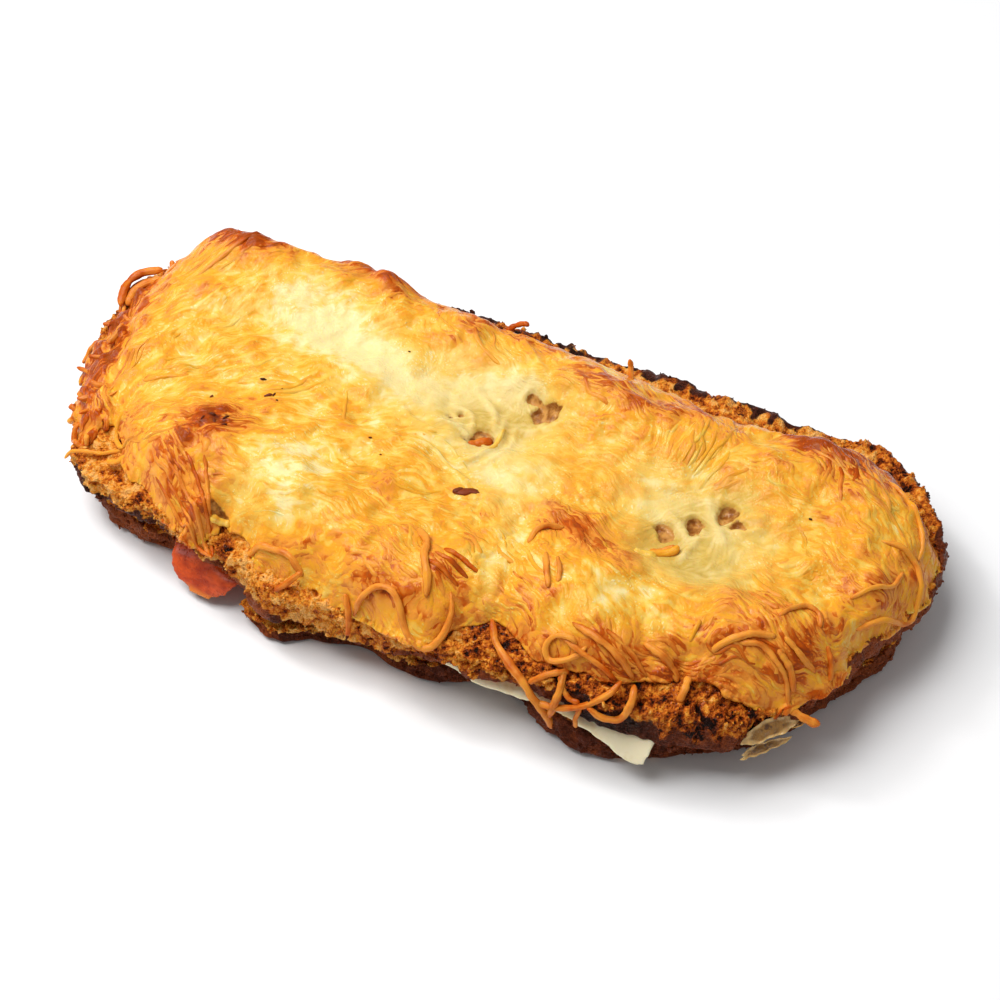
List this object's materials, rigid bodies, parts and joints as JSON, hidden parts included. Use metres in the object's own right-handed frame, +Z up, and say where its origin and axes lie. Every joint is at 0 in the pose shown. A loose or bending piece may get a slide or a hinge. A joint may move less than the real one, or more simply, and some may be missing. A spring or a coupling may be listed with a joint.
{
  "type": "croque monsieur",
  "caption": "Long open-crusted toasted sandwich: country bread with ham and sliced cheese inside and a thick browned blanket of melted grated cheese on top.",
  "frame": {"origin": "middle of the box on the plane of the flat underside", "axes": "+Z up, +X along the length towards the rounded end, +Y towards the straight base crust of the loaf"},
  "size_m": [0.2448, 0.1172, 0.0405],
  "materials": {
    "bottom_bread": "rough toasted crumb and dark crust; matte_plastic stands in for bread",
    "ham": "moist cooked ham; gloss_plastic stands in for meat",
    "cheese_slice": "soft smooth sliced cheese; gloss_plastic stands in for cheese",
    "top_bread": "rough toasted crumb and charred crust; matte_plastic stands in for bread",
    "melted_cheese": "browned melted shreds with an oily sheen; gloss_plastic stands in for cheese",
    "crisp_lip": "thin crisp fried cheese; gloss_plastic stands in for cheese"
  },
  "bodies": {
    "root": {"bottom_bread": "bottom_bread", "ham": "ham", "cheese_slice": "cheese_slice", "top_bread": "top_bread", "melted_cheese": "melted_cheese", "crisp_lip": "crisp_lip"}
  },
  "joints": []
}
